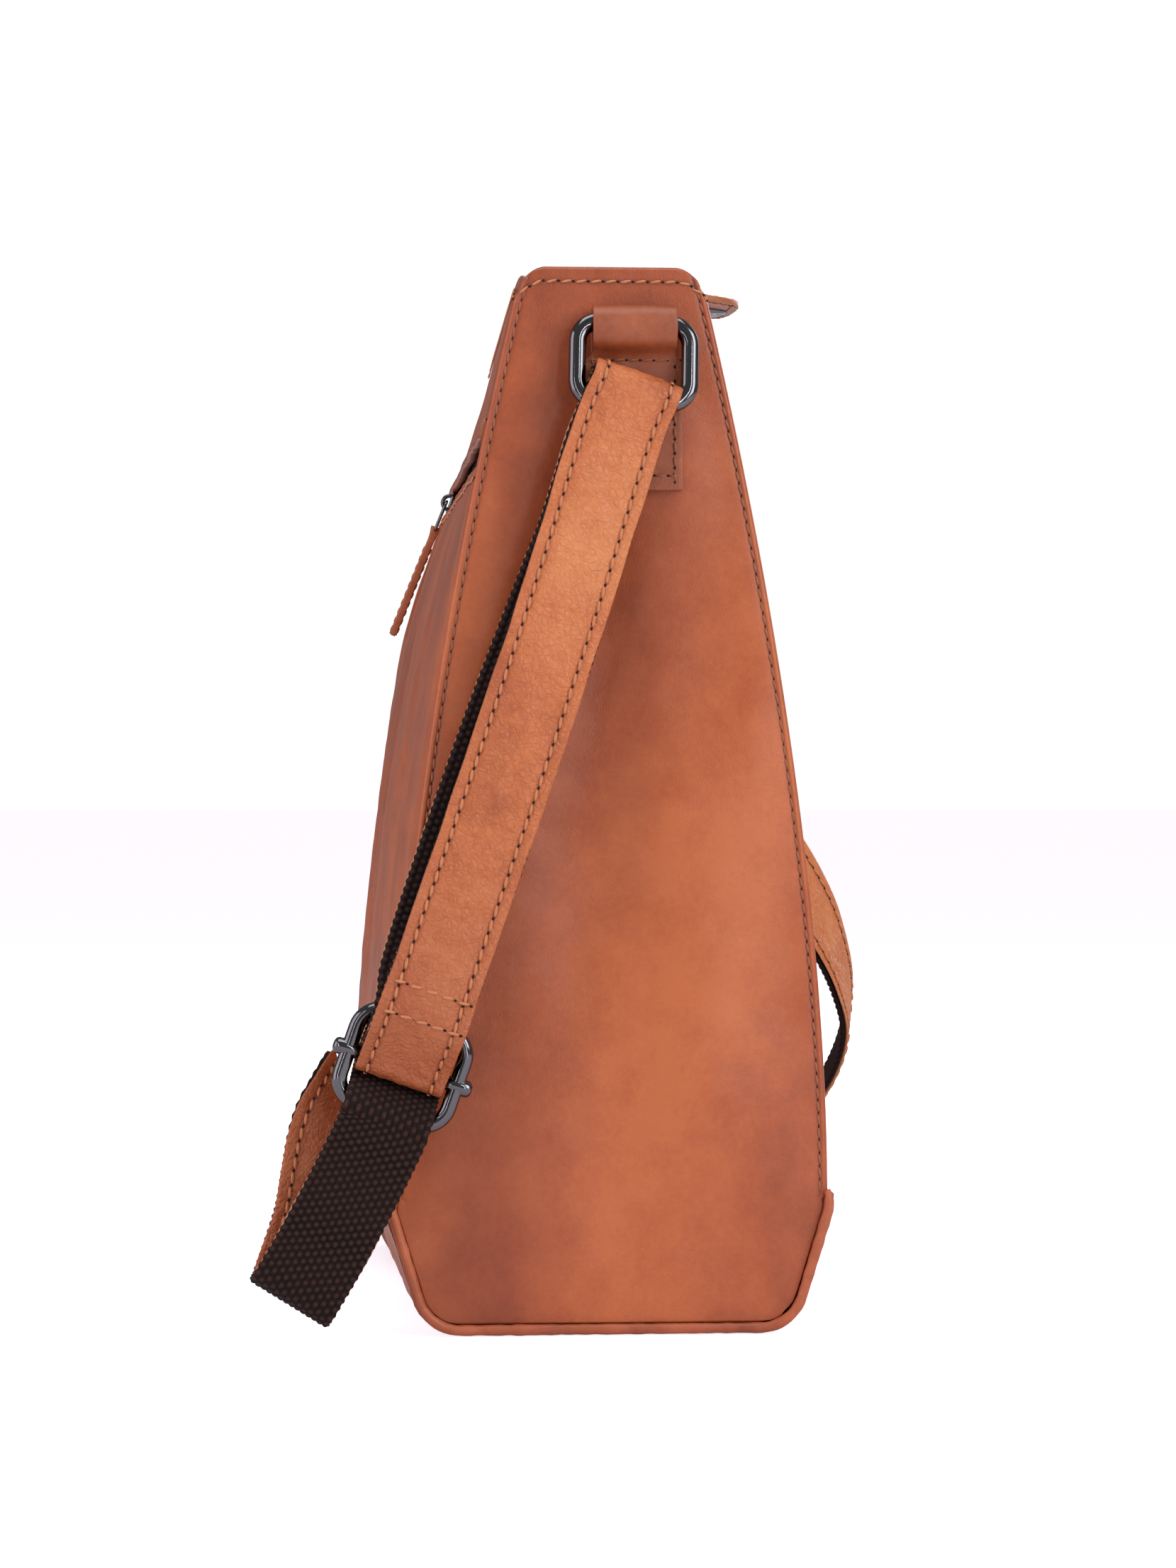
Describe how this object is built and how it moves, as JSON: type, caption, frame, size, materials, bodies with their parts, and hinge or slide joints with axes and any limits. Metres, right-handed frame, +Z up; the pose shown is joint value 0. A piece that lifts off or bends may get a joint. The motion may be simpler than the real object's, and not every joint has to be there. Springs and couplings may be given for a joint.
{
  "type": "sling bag",
  "caption": "Small upright leather sling bag with an open mouth, closure tongue, zip pocket, boot base, ring tabs and an adjustable strap of leather on webbing.",
  "frame": {"origin": "centre of the base, on the floor", "axes": "+X along the bag towards the end that stands open, +Y towards the plain side, +Z up; the zip pocket is on the -Y side"},
  "size_m": [0.3812, 0.2423, 0.3453],
  "materials": {
    "bag_leather": "smooth waxed, lightly marked",
    "trim_leather": "smooth waxed, cut edges left natural",
    "strap_webbing": "coarse plain-woven webbing",
    "gunmetal": "dark polished plate",
    "lining_cloth": "plain woven cloth",
    "zip_tape": "ribbed tape",
    "base_board": "pressed board"
  },
  "bodies": {
    "bag": {"gusset_right": "bag_leather", "gusset_left": "bag_leather", "pocket_upper_panel": "bag_leather", "pocket_lower_panel": "bag_leather", "plain_panel": "bag_leather", "base_boot": "bag_leather", "piping_right": "trim_leather", "piping_left": "trim_leather", "base_board": "base_board", "lining": "lining_cloth", "pocket_bag": "lining_cloth", "zip_tapes": "zip_tape", "zip_teeth": "gunmetal", "ring_tab_right": "trim_leather", "ring_tab_left": "trim_leather", "strap_leather_run": "bag_leather", "strap_webbing_run": "strap_webbing", "closure_tongue_anchor": "trim_leather", "snap_socket": "gunmetal", "snap_washer": "gunmetal"},
    "slider": {"zip_slider": "gunmetal", "zip_bail": "gunmetal"},
    "pull": {"zip_pull_link": "gunmetal", "zip_pull_leather": "trim_leather"},
    "tongue": {"closure_tongue": "trim_leather"},
    "tongue_tip": {"closure_tongue_tip": "trim_leather", "snap_stud": "gunmetal"},
    "strap_open_end": {"ring_right": "gunmetal", "strap_leather_right": "bag_leather", "strap_webbing_right": "strap_webbing", "slide_frame": "gunmetal", "slide_bar": "gunmetal"},
    "strap_far_end": {"ring_left": "gunmetal", "strap_leather_left": "bag_leather", "strap_webbing_left": "strap_webbing"}
  },
  "joints": [
    {"name": "zip_travel", "type": "slide", "parent": "bag", "child": "slider", "axis": [0.9997, -0.0235, 0], "range_m": [0, 0.247]},
    {"name": "zip_pull_swing", "type": "hinge", "parent": "slider", "child": "pull", "pos_m": [-0.1235, -0.03693, 0.28199], "axis": [-0.9997, 0.0235, 0], "range_deg": [0, 110]},
    {"name": "tongue_lift", "type": "hinge", "parent": "bag", "child": "tongue", "pos_m": [0, -0.0209, 0.343], "axis": [1, 0, 0], "range_deg": [0, 170]},
    {"name": "tongue_tip_fold", "type": "hinge", "parent": "tongue", "child": "tongue_tip", "pos_m": [0, 0.0304, 0.343], "axis": [-1, 0, 0], "range_deg": [0, 82]},
    {"name": "strap_open_swing", "type": "hinge", "parent": "bag", "child": "strap_open_end", "pos_m": [0.1556, 0.007, 0.3226], "axis": [0, -0.9996, 0.0279], "range_deg": [0, 20]},
    {"name": "strap_far_swing", "type": "hinge", "parent": "bag", "child": "strap_far_end", "pos_m": [-0.1556, 0.007, 0.3226], "axis": [0, 0.9996, 0.0279], "range_deg": [0, 15]}
  ]
}
